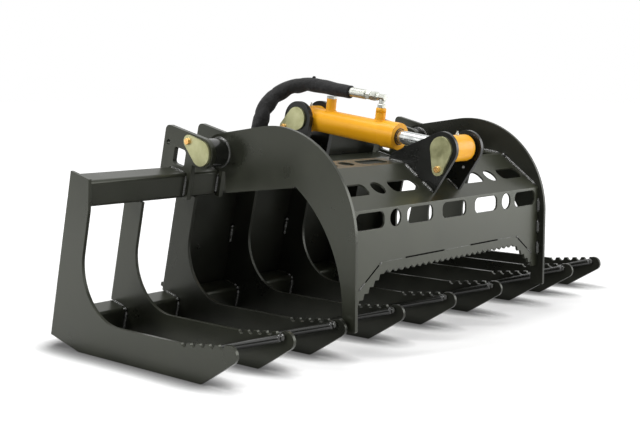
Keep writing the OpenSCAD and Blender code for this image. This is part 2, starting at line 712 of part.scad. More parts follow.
module clevis_ear(s) color([0.15, 0.15, 0.14]) seat() plate(s * clevis_c, clevis_t) difference() {
    tail = s2 + tail_r * dir(slope_back);
    toe = s1 + toe_set * dir(slope_mid);
    n = belt(rod_pin, clevis_r, tail, tail_r, 1);
    na = atan2(n.y, n.x);
    t = touch(toe, rod_pin, clevis_r, 1) - rod_pin;
    ta = na + (atan2(t.y, t.x) - na + 720) % 360;
    polygon([
        toe, corner(rod_pin, clevis_r, na, ta), corner(tail, tail_r, slope_back, na),
        tail + tail_r * dir(slope_back), s2
    ]);
    beyond(rod_pin, clevis_r, na, ta);
    beyond(tail, tail_r, slope_back, na);
    translate(rod_pin) circle(d = pin_d + 2 * pin_fit);
    translate(rod_pin + flag_reach * dir(rod_flag_a)) circle(d = bolt_d);
}

// ---- cylinder ----
// Its own frame: Z runs from the base pin to the rod pin, Y is up
module on_cylinder() seat() translate([0, base_pin.x, base_pin.y]) rotate([90 + cyl_tilt, 0, 0]) children();
module cross_tube(z, bore) translate([-eye_l / 2, 0, z]) rotate([0, 90, 0]) difference() {
    cylinder(d = eye_d, h = eye_l);
    translate([0, 0, -over]) cylinder(d = bore, h = eye_l + 2 * over);
}
module base_eye() color([0.93, 0.62, 0.10]) on_cylinder() cross_tube(0, pin_d + 2 * pin_fit);
module barrel() color([0.93, 0.62, 0.10]) on_cylinder() difference() {
    cylinder(d = barrel_d, h = gland_z);
    translate([0, 0, eye_d / 2 + barrel_cap]) cylinder(d = bore_d, h = gland_z);
    translate([-eye_l, 0, 0]) rotate([0, 90, 0]) cylinder(d = eye_d, h = 2 * eye_l);
    translate([0, 0, -eye_d]) cylinder(d = 2 * eye_d, h = eye_d);
}
module gland() color([0.93, 0.62, 0.10]) on_cylinder() difference() {
    union() {
        translate([0, 0, gland_z]) cylinder(d = gland_d, h = gland_l);
        translate([0, 0, gland_z - piston_gap / 2]) cylinder(d = bore_d, h = gland_l / 2);
    }
    translate([0, 0, gland_z - piston_gap]) cylinder(d = rod_d + 2 * slide_fit, h = gland_l + 2 * piston_gap);
}
module rod_wiper() color([0.08, 0.08, 0.08]) on_cylinder() translate([0, 0, gland_end]) difference() {
    cylinder(d = wiper_d, h = wiper_h);
    translate([0, 0, -over]) cylinder(d = rod_d + 2 * slide_fit, h = wiper_h + 2 * over);
}
// A boss at z on the barrel, h above its surface
module boss(z, h) difference() {
    translate([0, 0, z]) rotate([-90, 0, 0]) cylinder(d = port_d, h = barrel_d / 2 + h);
    cylinder(d = barrel_d, h = gland_end);
}
module rear_port() color([0.93, 0.62, 0.10]) on_cylinder() boss(port_back, port_h2);
module rear_fitting() color([0.72, 0.72, 0.70]) on_cylinder()
    translate([0, barrel_d / 2 + port_h2, port_back]) rotate([-90, 0, 0])
        linear_extrude(line_y - (sleeve_d + barrel_d) / 2 - port_h2 - rear_clear) hexagon(fit_af);
module front_port() color([0.93, 0.62, 0.10]) on_cylinder() boss(port_front, port_h);
module elbow_fitting() color([0.72, 0.72, 0.70]) on_cylinder() {
    translate([0, port_top, port_front]) rotate([-90, 0, 0]) {
        linear_extrude(fit_h) hexagon(fit_af);
        cylinder(d = pipe_d, h = fit_h + pipe_up);
    }
    translate([0, line_y - elbow_r, ferrule_z]) rotate([0, -90, 0]) rotate_extrude(angle = 90)
        translate([elbow_r, 0]) circle(d = pipe_d);
}
module hose_ferrule() color([0.66, 0.66, 0.64]) on_cylinder() translate([0, line_y, ferrule_z - ferrule_l])
    cylinder(d = ferrule_d, h = ferrule_l);
module zerk(z) color([0.72, 0.72, 0.70]) on_cylinder() translate([0, eye_d / 2, z]) rotate([-90, 0, 0]) {
    cylinder(d = zerk_d, h = zerk_h / 2);
    cylinder(d = zerk_d / 2, h = zerk_h);
}
module piston_rod() color([0.85, 0.86, 0.88]) on_cylinder() translate([0, 0, piston_z]) difference() {
    cylinder(d = rod_d, h = cyl_l - piston_z);
    translate([-eye_l, 0, cyl_l - piston_z]) rotate([0, 90, 0]) cylinder(d = eye_d, h = 2 * eye_l);
}
module piston() color([0.6, 0.6, 0.6]) on_cylinder() translate([0, 0, piston_z]) difference() {
    cylinder(d = bore_d - 2 * slide_fit, h = piston_l);
    translate([0, 0, -over]) cylinder(d = rod_d, h = piston_l + 2 * over);
}
module rod_eye() color([0.93, 0.62, 0.10]) on_cylinder() cross_tube(cyl_l, pin_d + 2 * eye_slack);

// ---- hose sleeve ----
function unit(v) = v / norm(v);
hose_in = [0, cos(cyl_tilt), sin(cyl_tilt)];
hose_out = [0, sin(lean), -cos(lean)];
function along(i) = i == 0 ? hose_in : i == len(hose_route) - 1 ? hose_out
    : unit(unit(hose_route[i + 1] - hose_route[i]) + unit(hose_route[i] - hose_route[i - 1]));
function ring(i) = let (t = along(i), a = unit(cross(t, [1, 0, 0])), b = cross(t, a))
    [for (k = [0 : hose_n - 1]) hose_route[i] + sleeve_d / 2 * (cos(360 * k / hose_n) * a + sin(360 * k / hose_n) * b)];
module hose_sleeve() color([0.05, 0.05, 0.05]) {
    last = len(hose_route) - 1;
    pts = [for (i = [0 : last]) each ring(i)];
    walls = [for (i = [0 : last - 1], k = [0 : hose_n - 1]) let (a = i * hose_n, j = (k + 1) % hose_n) each [
        [a + k, a + hose_n + k, a + j], [a + j, a + hose_n + k, a + hose_n + j]
    ]];
    polyhedron(pts, concat(walls, [
        [for (k = [0 : hose_n - 1]) k], [for (k = [hose_n - 1 : -1 : 0]) last * hose_n + k]
    ]));
}

end_tine(0);  // tine_1
inner_tine(1);  // tine_2
inner_tine(2);  // tine_3
inner_tine(3);  // tine_4
inner_tine(4);  // tine_5
inner_tine(5);  // tine_6
inner_tine(6);  // tine_7
inner_tine(7);  // tine_8
end_tine(8);  // tine_9
tip_rods(0, [1]);  // tip_rods_1
tip_rods(1, [-1, 1]);  // tip_rods_2
tip_rods(2, [-1, 1]);  // tip_rods_3
tip_rods(3, [-1, 1]);  // tip_rods_4
tip_rods(4, [-1, 1]);  // tip_rods_5
tip_rods(5, [-1, 1]);  // tip_rods_6
tip_rods(6, [-1, 1]);  // tip_rods_7
tip_rods(7, [-1, 1]);  // tip_rods_8
tip_rods(8, [-1]);  // tip_rods_9
square_tube(0);  // lower_tube
square_tube(top_v0);  // top_tube
mount_plate();
pivot_ear(-ear_out_c);  // pivot_ear_1
pivot_ear(-ear_in_c);  // pivot_ear_2
pivot_ear(ear_in_c);  // pivot_ear_3
pivot_ear(ear_out_c);  // pivot_ear_4
base_ear(-1);  // base_ear_left
base_ear(1);  // base_ear_right
flag_pin(pivot, clamp_flag_a, -ear_out_face, ear_gap + 2 * ear_t + pin_out, 1);  // clamp_pin_left
flag_pin(pivot, clamp_flag_a, ear_out_face, ear_gap + 2 * ear_t + pin_out, -1);  // clamp_pin_right
flag_pin(base_pin, base_flag_a, -base_ear_x - ear_t, 2 * (base_ear_x + ear_t) + pin_out, 1);  // base_pin_flagged
lock_bolt(pivot, clamp_flag_a, -ear_out_face, 1);  // clamp_bolt_left
lock_bolt(pivot, clamp_flag_a, ear_out_face, -1);  // clamp_bolt_right
lock_bolt(base_pin, base_flag_a, -base_ear_x - ear_t, 1);  // base_bolt
hose_bracket();
bulkhead_fitting();
clamp_arm(-1);  // clamp_arm_left
clamp_arm(1);  // clamp_arm_right
clamp_hub(-1);  // clamp_hub_left
clamp_hub(1);  // clamp_hub_right
clamp_sheet();
saw_blade();
clevis_ear(-1);  // clevis_ear_left
clevis_ear(1);  // clevis_ear_right
flag_pin(rod_pin, rod_flag_a, -clevis_gap / 2 - clevis_t, clevis_gap + 2 * clevis_t + pin_out, 1);  // rod_pin_flagged
lock_bolt(rod_pin, rod_flag_a, -clevis_gap / 2 - clevis_t, 1);  // rod_bolt
base_eye();
barrel();
gland();
rod_wiper();
rear_port();
front_port();
rear_fitting();
elbow_fitting();
hose_ferrule();
zerk(0);  // base_zerk
hose_sleeve();
piston_rod();
piston();
rod_eye();
zerk(cyl_l);  // rod_zerk
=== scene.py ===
"""Mini skid steer grapple dressed for the render: paints, hose sleeve, welds, light and camera."""
import json
import math
import bpy
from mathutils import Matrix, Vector


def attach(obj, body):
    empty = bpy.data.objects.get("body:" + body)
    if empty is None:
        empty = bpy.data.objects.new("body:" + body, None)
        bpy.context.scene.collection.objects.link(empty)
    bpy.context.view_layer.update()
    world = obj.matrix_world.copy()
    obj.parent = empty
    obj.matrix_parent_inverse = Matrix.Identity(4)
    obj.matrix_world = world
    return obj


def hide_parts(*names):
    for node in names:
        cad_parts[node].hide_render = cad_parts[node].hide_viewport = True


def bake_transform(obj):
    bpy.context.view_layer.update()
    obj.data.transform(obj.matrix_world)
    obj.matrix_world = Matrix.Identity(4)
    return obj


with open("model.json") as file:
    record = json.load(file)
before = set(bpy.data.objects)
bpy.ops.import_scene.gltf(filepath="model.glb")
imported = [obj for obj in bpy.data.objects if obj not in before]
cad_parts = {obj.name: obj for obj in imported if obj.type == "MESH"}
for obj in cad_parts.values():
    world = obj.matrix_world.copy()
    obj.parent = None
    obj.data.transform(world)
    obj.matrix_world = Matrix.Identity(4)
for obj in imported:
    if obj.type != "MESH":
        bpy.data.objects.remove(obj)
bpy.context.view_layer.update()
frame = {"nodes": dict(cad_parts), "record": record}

# All lengths are in metres in the CAD frame, unless a name ends in _MM, and angles in radians.

# ---------------------------------------------------------------- camera
CAMERA_AT = (-2.2486, -1.8562, 0.6139)
YAW, PITCH = math.radians(41.60), math.radians(6.72)  # from +X towards +Y, and down
LENS_MM, SENSOR_MM = 61.92, 36.0
CLIP_NEAR, CLIP_FAR = 0.05, 60.0


def add_camera():
    cam = bpy.data.cameras.new("camera")
    cam.sensor_fit = "HORIZONTAL"
    cam.sensor_width = SENSOR_MM
    cam.lens = LENS_MM
    cam.clip_start, cam.clip_end = CLIP_NEAR, CLIP_FAR
    obj = bpy.data.objects.new("camera", cam)
    bpy.context.collection.objects.link(obj)
    level = math.cos(PITCH)
    look = Vector((math.cos(YAW) * level, math.sin(YAW) * level, -math.sin(PITCH)))
    obj.location = CAMERA_AT
    obj.rotation_euler = look.to_track_quat("-Z", "Y").to_euler()
    bpy.context.scene.camera = obj


add_camera()

# ---------------------------------------------------------------- shader nodes
NOISE_ROUGHNESS = 0.55
NOISE_LOW, NOISE_HIGH = 0.3, 0.7  # the band that most of a noise lies in
BEVEL_SAMPLES = 4


def wire(tree, made, inputs):
    """Give a node's inputs their values, and link those that come as sockets."""
    for key, value in inputs.items():
        if isinstance(value, bpy.types.NodeSocket):
            tree.links.new(value, made.inputs[key])
        else:
            made.inputs[key].default_value = value


def add(tree, kind, inputs=None, **settings):
    """Add one shader node with its settings and inputs."""
    made = tree.nodes.new("ShaderNode" + kind)
    for key, value in settings.items():
        setattr(made, key, value)
    wire(tree, made, inputs or {})
    return made


def calc(tree, operation, *values):
    return add(tree, "Math", dict(enumerate(values)), operation=operation).outputs["Value"]


def coordinate(tree, kind):
    return add(tree, "TexCoord").outputs[kind]


def noise(tree, scale, detail):
    """Noise in the piece's own coordinates."""
    return add(tree, "TexNoise", {
        "Scale": scale, "Detail": detail, "Roughness": NOISE_ROUGHNESS,
        "Vector": coordinate(tree, "Object"),
    }).outputs["Fac"]


def to_range(tree, value, low, high, from_low=NOISE_LOW, from_high=NOISE_HIGH):
    """Stretch a value from one range, by default a noise's, to another."""
    return add(tree, "MapRange", {
        "From Min": from_low, "From Max": from_high, "To Min": low, "To Max": high,
        "Value": value,
    }).outputs["Result"]


def mix_colour(tree, factor, a, b):
    return add(tree, "Mix", {
        "Factor": factor, "A": (*a, 1.0), "B": (*b, 1.0),
    }, data_type="RGBA").outputs["Result"]


def round_edges(tree, radius):
    return add(tree, "Bevel", {"Radius": radius}, samples=BEVEL_SAMPLES).outputs["Normal"]


def bump(tree, height, strength, distance, normal=None):
    """Bump, on top of another normal if one is given."""
    inputs = {"Strength": strength, "Distance": distance, "Height": height}
    if normal is not None:
        inputs["Normal"] = normal
    return add(tree, "Bump", inputs).outputs["Normal"]


def principled(name, base, rough, metal=0.0):
    """A new material with the plain values of its Principled shader."""
    mat = bpy.data.materials.new(name)
    mat.use_nodes = True
    mat.diffuse_color = (*base, 1.0)
    tree = mat.node_tree
    shader = tree.nodes["Principled BSDF"]
    wire(tree, shader, {"Base Color": (*base, 1.0), "Roughness": rough, "Metallic": metal})
    return mat, tree, shader


# ---------------------------------------------------------------- paints and platings
WHITE = (1.0, 1.0, 1.0)
OLIVE = (0.96, 1.0, 0.86)  # the olive cast of the black paint's reflections
PLATE_EDGE, CYLINDER_EDGE, TURNED_EDGE = 0.0018, 0.0012, 0.0008
COAT_ROUGHNESS = 0.12
PATCH_SMOOTHER, PATCH_ROUGHER = 0.05, 0.08  # how far a patch's gloss departs from the coat's
CLOUD_SMOOTHER, CLOUD_ROUGHER = 0.06, 0.10
PLATED_METAL = 0.85


def coated(name, base, light, rough, coat, level, tint=WHITE, edge=PLATE_EDGE):
    """Sprayed paint on steel: faint orange peel, patchy gloss, lighter patches."""
    mat, tree, shader = principled(name, base, rough)
    peel = noise(tree, scale=420.0, detail=2.0)
    patch = noise(tree, scale=9.0, detail=5.0)
    wire(tree, shader, {
        "Roughness": to_range(tree, patch, rough - PATCH_SMOOTHER, rough + PATCH_ROUGHER),
        "Base Color": mix_colour(tree, to_range(tree, patch, 0.0, 1.0), base, light),
        "Specular IOR Level": level,
        "Specular Tint": (*tint, 1.0),
        "Coat Weight": coat,
        "Coat Roughness": COAT_ROUGHNESS,
        "Normal": bump(tree, peel, strength=0.08, distance=0.0004, normal=round_edges(tree, edge)),
    })
    return mat


def plated(name, base, light, rough, grain=0.10):
    """Plated or bare metal: a fine grain and a cloudy tone, yellowish on the zinc."""
    mat, tree, shader = principled(name, base, rough, PLATED_METAL)
    cloud = noise(tree, scale=38.0, detail=6.0)
    fine = noise(tree, scale=700.0, detail=2.0)
    edges = round_edges(tree, TURNED_EDGE)
    wire(tree, shader, {
        "Base Color": mix_colour(tree, to_range(tree, cloud, 0.0, 1.0), base, light),
        "Roughness": to_range(tree, cloud, rough - CLOUD_SMOOTHER, rough + CLOUD_ROUGHER),
        "Normal": bump(tree, fine, strength=grain, distance=0.0003, normal=edges),
    })
    return mat


# The photograph's light shades one black-olive paint differently from plate to plate.
# These five versions of it do the same under plain lamps.
black = coated(
    "dark_coat", base=(0.0135, 0.0145, 0.0098), light=(0.0205, 0.0217, 0.0150),
    rough=0.30, coat=0.08, level=0.40, tint=OLIVE)
# painted shade: a darker copy of the black paint, for the tines from the third on, the mounting
# plate and the right clamp arm
inner_shade_black = coated(
    "inner_shade_coat", base=(0.0086, 0.0090, 0.0070), light=(0.0142, 0.0149, 0.0114),
    rough=0.30, coat=0.02, level=0.31, tint=OLIVE)
# a glossier copy of the black paint for the clamp hubs and tip rods; its darker base is painted
# shade
gloss_shade_black = coated(
    "gloss_shade_coat", base=(0.0070, 0.0075, 0.0060), light=(0.0120, 0.0126, 0.0105),
    rough=0.20, coat=0.45, level=0.50)
# painted shade: the darkest copy of the black paint, for the clevis and base ears
deep_shade_black = coated(
    "deep_shade_coat", base=(0.005, 0.0055, 0.0045), light=(0.009, 0.0095, 0.008),
    rough=0.26, coat=0.0, level=0.34)
# painted light: a copy of the black paint with a stronger reflection, for the clamp sheet and saw
# blade
front_lit_black = coated(
    "front_lit_coat", base=(0.0130, 0.0140, 0.0082), light=(0.0200, 0.0214, 0.0130),
    rough=0.34, coat=0.08, level=0.50, tint=OLIVE)
orange = coated(
    "cylinder_coat", base=(0.78, 0.345, 0.008), light=(0.84, 0.410, 0.014),
    rough=0.32, coat=0.05, level=0.24, edge=CYLINDER_EDGE)
flag_zinc = plated(
    "flag_zinc", base=(0.32, 0.318, 0.162), light=(0.45, 0.445, 0.26), rough=0.38)
bolt_zinc = plated(
    "bolt_zinc", base=(0.80, 0.42, 0.12), light=(0.90, 0.56, 0.22), rough=0.26)
bright_zinc = plated(
    "fitting_zinc", base=(0.36, 0.37, 0.33), light=(0.56, 0.57, 0.52), rough=0.34)
chrome = plated(
    "chrome_rod", base=(0.52, 0.54, 0.53), light=(0.58, 0.60, 0.59), rough=0.12, grain=0.02)
steel = plated(
    "piston_steel", base=(0.42, 0.42, 0.43), light=(0.52, 0.52, 0.53), rough=0.32)


def rubber_material():
    """Matte black rubber with a fine grain."""
    mat, tree, shader = principled("wiper_rubber", base=(0.012, 0.012, 0.012), rough=0.55)
    grain = noise(tree, scale=300.0, detail=3.0)
    edges = round_edges(tree, radius=0.0006)
    wire(tree, shader, {
        "Roughness": to_range(tree, grain, low=0.48, high=0.66),
        "Normal": bump(tree, grain, strength=0.15, distance=0.0003, normal=edges),
    })
    return mat


THREADS_ROUND, THREADS_ALONG = 56.0, 150.0  # round the sleeve, and for each UV_LENGTH of it
WEAVE_DARK, WEAVE_LIGHT = (0.005, 0.005, 0.005), (0.016, 0.016, 0.016)


def sleeve_material():
    """Woven hose sleeve: two crossing sets of threads that follow the tube, and crumples."""
    mat, tree, shader = principled("sleeve_weave", base=(0.012, 0.012, 0.013), rough=0.78)
    split = add(tree, "SeparateXYZ", {"Vector": coordinate(tree, "UV")}).outputs

    def threads(axis, count):
        return calc(tree, "SINE", calc(tree, "MULTIPLY", split[axis], count * math.tau))

    crossing = calc(tree, "MULTIPLY", threads("X", THREADS_ROUND), threads("Y", THREADS_ALONG))
    weave = to_range(tree, crossing, 0.0, 1.0, from_low=-1.0, from_high=1.0)
    woven = bump(tree, weave, strength=0.6, distance=0.0008)
    crumples = noise(tree, scale=34.0, detail=3.0)
    wire(tree, shader, {
        "Base Color": mix_colour(tree, weave, WEAVE_DARK, WEAVE_LIGHT),
        "Specular IOR Level": 0.25,
        "Sheen Weight": 0.06,
        "Sheen Roughness": 0.5,
        "Normal": bump(tree, crumples, strength=0.55, distance=0.012, normal=woven),
    })
    return mat


def weld_material():
    """Paint over weld metal: the same black, but glossy and uneven."""
    mat, tree, shader = principled("weld_coat", base=(0.014, 0.0148, 0.0105), rough=0.20)
    spatter = noise(tree, scale=260.0, detail=3.0)
    wire(tree, shader, {
        "Roughness": to_range(tree, spatter, low=0.12, high=0.28),
        "Specular IOR Level": 0.60,
        "Coat Weight": 0.25,
        "Coat Roughness": 0.10,
        "Normal": bump(tree, spatter, strength=0.3, distance=0.0006),
    })
    return mat


# painted shade: the near-black tones that stand for the shade in the blade's open joint
SEAM_SHADE_DARK, SEAM_SHADE_PALE = (0.002, 0.002, 0.002), (0.006, 0.006, 0.005)


def seam_shade_material():
    """Painted shade for an open joint: matte and almost black, uneven along its length."""
    mat, tree, shader = principled("painted_seam_shade", base=(0.003, 0.003, 0.003), rough=0.9)
    shade_unevenness = to_range(tree, noise(tree, scale=90.0, detail=3.0), 0.0, 1.0)
    wire(tree, shader, {
        "Base Color": mix_colour(tree, shade_unevenness, SEAM_SHADE_DARK, SEAM_SHADE_PALE),
        "Specular IOR Level": 0.05,
    })
    return mat


seam_shade_black = seam_shade_material()
rubber = rubber_material()
sleeve_cloth = sleeve_material()
weld_coat = weld_material()

SLOTS = {
    "dark_coat": black, "cylinder_paint": orange, "flag_plating": flag_zinc,
    "bolt_plating": bolt_zinc, "fitting": bright_zinc, "chrome_rod": chrome,
    "piston_steel": steel, "seal": rubber, "sleeve": sleeve_cloth,
}
SHADED = {}  # the nodes that take a copy of the black paint with painted light or shade
for coat, names in (
    (deep_shade_black, ["clevis_ear_left", "clevis_ear_right", "base_ear_left", "base_ear_right"]),
    (front_lit_black, ["clamp_sheet", "saw_blade"]),
    (inner_shade_black, ["clamp_arm_right", "mount_plate"] + [f"tine_{k}" for k in range(3, 10)]),
    (gloss_shade_black, ["clamp_hub_left", "clamp_hub_right"] + [f"tip_rods_{k}" for k in range(1, 10)]),
):
    SHADED.update(dict.fromkeys(names, coat))
for part in frame["record"]["subparts"]:
    slots = frame["nodes"][part["node"]].data.materials
    slots.clear()
    slots.append(SHADED.get(part["node"], SLOTS[part["material_slot"]]))

# ---------------------------------------------------------------- sizes shared with the solids
LEAN = math.radians(13.7)  # how far the frame leans back
ORIGIN_Y = 0.292  # from the tine tips back to the CAD origin
HEEL_BACK, HEEL_RISE = 0.607, 0.107
HEEL = (HEEL_BACK - ORIGIN_Y, HEEL_RISE * math.tan(LEAN))
TINE_X = [-0.758, -0.591, -0.424, -0.212, 0.0, 0.212, 0.424, 0.591, 0.758]
TINE_HALF = 0.004  # half a tine's thickness
TUBE, TOP_V = 0.0635, 0.334  # the square tubes' width, and the top one's underside
PIVOT_EAR_X = (-0.46105, -0.35435, 0.35435, 0.46105)
BASE_EAR_X = (-0.04565, 0.04565)
EAR_HALF = 0.00635
BARREL_R, ROD_R, EYE_R = 0.03175, 0.01745, 0.033
REAR_PORT_Z, PORT_Z = 0.072, 0.243  # the ports, along the cylinder from its base pin
PIVOT_U, PIVOT_V = -0.105, 0.460  # the clamp's hinge
BASE_U, BASE_V = -0.017, 0.5135  # the cylinder's base pin
PIVOT_TO_ROD = Vector((0, -0.410, 0.008))  # from the hinge to the rod's pin
MM_PER_M = 1000


def lean(x, u, v):
    """A point of the leaning frame: u back, v up."""
    return Vector((
        x,
        HEEL[0] + u * math.cos(LEAN) - v * math.sin(LEAN),
        HEEL[1] + u * math.sin(LEAN) + v * math.cos(LEAN),
    ))


def side(x, y_mm, z_mm):
    """A point of the side view, y back from the tine tips."""
    return Vector((x, y_mm / MM_PER_M - ORIGIN_Y, z_mm / MM_PER_M))


PIVOT = lean(0, PIVOT_U, PIVOT_V)
BASE_PIN = lean(0, BASE_U, BASE_V)
ROD_PIN = PIVOT + PIVOT_TO_ROD
AXIS = (ROD_PIN - BASE_PIN).normalized()
UP = Vector((0, AXIS.z, -AXIS.y))  # square to the cylinder, upwards
ACROSS = Vector((1, 0, 0))


def on_cylinder(z, up, x=0.0):
    """A point of the cylinder: z from the base pin along it, up above it."""
    return BASE_PIN + AXIS * z + UP * up + Vector((x, 0, 0))


# ---------------------------------------------------------------- mesh building
class Store:
    """The points and faces of one piece while it is built."""

    def __init__(self):
        self.verts, self.faces = [], []

    def join_rings(self, base, rings, sides, closed=False):
        """Quads between rings of points, from the point base on."""
        for i in range(rings if closed else rings - 1):
            low, high = base + i * sides, base + (i + 1) % rings * sides
            for k in range(sides):
                j = (k + 1) % sides
                self.faces.append((low + k, low + j, high + j, high + k))

    def cap_ends(self, base, rings, sides):
        last = base + (rings - 1) * sides
        self.faces.append(tuple(base + k for k in reversed(range(sides))))
        self.faces.append(tuple(last + k for k in range(sides)))


def new_mesh(name, store, mat, smooth=True):
    me = bpy.data.meshes.new(name)
    me.from_pydata([tuple(v) for v in store.verts], [], store.faces)
    me.update()
    if smooth:
        me.polygons.foreach_set("use_smooth", [True] * len(me.polygons))
    me.materials.append(mat)
    obj = bpy.data.objects.new(name, me)
    bpy.context.collection.objects.link(obj)
    return obj


ALMOST_ACROSS = 0.9


def square_to(t):
    """Two directions square to t and to each other."""
    ref = ACROSS if abs(t.x) < ALMOST_ACROSS else Vector((0, 0, 1))
    a = t.cross(ref).normalized()
    return a, t.cross(a).normalized()


def polar(centre, a, b, r, ang):
    """The point at an angle on a circle in the plane of a and b."""
    return centre + a * r * math.cos(ang) + b * r * math.sin(ang)


def turn(count):
    """The angles of one whole turn, with the last on the first."""
    return [math.tau * k / count for k in range(count + 1)]


def ring(centre, axis, r, count):
    a, b = square_to(axis)
    return [polar(centre, a, b, r, ang) for ang in turn(count)]


def resample(points, step):
    out = [points[0].copy()]
    for a, b in zip(points, points[1:]):
        n = max(1, round((b - a).length / step))
        out += [a.lerp(b, (i + 1) / n) for i in range(n)]
    return out


BEAD_STEP, BEAD_SIDES = 0.0011, 8
BEAD_RIPPLE = 0.0028  # from one ripple to the next
BEAD_LOW, BEAD_SAW, BEAD_WOBBLE = 0.88, 0.20, 0.04  # shares of the radius
WOBBLE_RATE = 310.0  # radians per metre
BEAD_TIP, BEAD_TAPER = 0.35, 1.5  # an end's share of the radius, and radii until it is full


def bead(store, points, r, closed=False):
    """A weld bead with its ripples, along a line of points."""
    pts = resample([Vector(p) for p in points], BEAD_STEP)
    n, base = len(pts), len(store.verts)
    run = 0.0
    for i, p in enumerate(pts):
        if i:
            run += (p - pts[i - 1]).length
        if closed:
            t = (pts[(i + 1) % (n - 1)] - pts[i - 1 if i else n - 2]).normalized()
        else:
            t = (pts[min(i + 1, n - 1)] - pts[max(i - 1, 0)]).normalized()
        a, b = square_to(t)
        saw = (run / BEAD_RIPPLE) % 1.0
        thick = r * (BEAD_LOW + BEAD_SAW * saw + BEAD_WOBBLE * math.sin(run * WOBBLE_RATE))
        if not closed:
            ends = (run, (n - 1 - i) * BEAD_STEP)
            thick *= min(1.0, *(BEAD_TIP + d / (r * BEAD_TAPER) for d in ends))
        store.verts += [
            polar(p, a, b, thick, math.tau * k / BEAD_SIDES) for k in range(BEAD_SIDES)]
    store.join_rings(base, n, BEAD_SIDES)
    if not closed:
        store.cap_ends(base, n, BEAD_SIDES)


LUMP_ROWS, LUMP_SIDES = 10, 16
LUMP_ROUND, LUMP_ROUND_WAVES, LUMP_SEED = 0.07, 3, 1.7  # its unevenness round it
LUMP_RISE, LUMP_RISE_WAVES = 0.05, 5  # and from its foot to its top


def lump(store, centre, size, seed):
    """A rounded, uneven blob of weld metal."""
    base = len(store.verts)
    for i in range(LUMP_ROWS + 1):
        lat = math.pi * i / LUMP_ROWS - math.pi / 2
        for k in range(LUMP_SIDES):
            ang = math.tau * k / LUMP_SIDES
            wave = LUMP_ROUND * math.sin(LUMP_ROUND_WAVES * ang + seed * LUMP_SEED)
            w = 1 + wave * math.cos(lat) + LUMP_RISE * math.sin(LUMP_RISE_WAVES * lat + seed)
            store.verts.append(centre + Vector((
                size[0] * w * math.cos(lat) * math.cos(ang),
                size[1] * w * math.cos(lat) * math.sin(ang),
                size[2] * w * math.sin(lat),
            )))
    store.join_rings(base, LUMP_ROWS + 1, LUMP_SIDES)


def lathe(store, centre, axis, profile, sides=40, start=0.0):
    """A turned or, with few sides, an edged part: profile is a list of (along, radius)."""
    axis = axis.normalized()
    a, b = square_to(axis)
    base = len(store.verts)
    for z, r in profile:
        for k in range(sides):
            ang = math.tau * k / sides + start
            store.verts.append(polar(centre + axis * z, a, b, r, ang))
    store.join_rings(base, len(profile), sides)
    store.cap_ends(base, len(profile), sides)


NUT_CHAMFER, NUT_FACE = 0.0012, 0.90  # the turned-down edge, and its share of the radius


def nut(store, centre, axis, length, flats, start):
    """A hexagon with turned-down edges."""
    r = flats / 2 / math.cos(math.pi / 6)
    face = r * NUT_FACE
    profile = [(0, face), (NUT_CHAMFER, r), (length - NUT_CHAMFER, r), (length, face)]
    lathe(store, centre, axis, profile, 6, start)


# ---------------------------------------------------------------- hose sleeve
ROUTE_MM = [
    (0, 29, 592), (0, 51, 595), (0, 74, 598), (0, 97, 601), (0, 119, 605),
    (0, 140, 608), (-2, 160, 611), (-5, 180, 612), (-10, 199, 611), (-17, 217, 608),
    (-26, 233, 602), (-36, 247, 594), (-47, 258, 584), (-58, 266, 572), (-69, 271, 559),
    (-79, 274, 545), (-87, 275, 530), (-93, 275, 515), (-97, 276, 500), (-99, 278, 485),
]
route = [Vector(p) / MM_PER_M for p in ROUTE_MM]
SLEEVE_SIDES, ROUTE_STEPS = 40, 6  # points round it, and steps between two points of the route
SLEEVE_FRONT_R, SLEEVE_BACK_R = 0.0170, 0.0218
SLEEVE_END_R, SLEEVE_HEM_R = 0.0140, 0.0172  # the last ring at either end, and the one before
FATTEN = ((0.0, 0.10, 0.4), (0.16, 0.12, 0.6))  # start, length and share of each swelling
UV_LENGTH = 0.5  # the length of sleeve that one unit of V stands for
# folds: rates are in radians per metre of sleeve, turns in radians for each radian round it
FOLD_DEPTH = 0.0007
FOLD_RATE, FOLD_SNAKE, SNAKE_TURNS, SNAKE_RATE = 118.0, 2.1, 2, 23.0
FOLD_SIDE, FOLD_SHARE = 1.1, 0.8
RIDGE_RATE, RIDGE_TURNS, RIDGE_SHARE = 47.0, 3.0, 0.5
BEND_START, BEND_GROWTH = 0.10, 0.08  # where the sleeve starts to bend down
UNDER_SIDE = -0.5  # the angle of the bend's inside, where the cloth gathers
GATHER_RATE, GATHER_SNAKE, GATHER_TURNS = 62.0, 0.5, 3
GATHER_DEPTH, GATHER_LEVEL = 0.0046, 0.5
CREASE_RATE, CREASE_TURNS, CREASE_SHARPNESS, CREASE_DEPTH = 92.0, 1.4, 8, 0.0016
KNOT_AT, KNOT_SIZE, KNOT_SEED = Vector((-0.002, 0.160, 0.6315)), (0.0045, 0.0050, 0.0032), 2.0


def spline(points, steps):
    """Catmull-Rom line through the points."""
    out = []
    for i in range(len(points) - 1):
        p0 = points[max(i - 1, 0)]
        p1, p2 = points[i], points[i + 1]
        p3 = points[min(i + 2, len(points) - 1)]
        square = 2 * p0 - 5 * p1 + 4 * p2 - p3
        cube = 3 * p1 - p0 - 3 * p2 + p3
        for k in range(steps):
            t = k / steps
            out.append(0.5 * ((2 * p1) + (p2 - p0) * t + square * t * t + cube * t ** 3))
    return out + [points[-1].copy()]


def ramp(run, start, length):
    """0 up to start, 1 from start + length on, and straight in between."""
    return min(1.0, max(0.0, (run - start) / length))


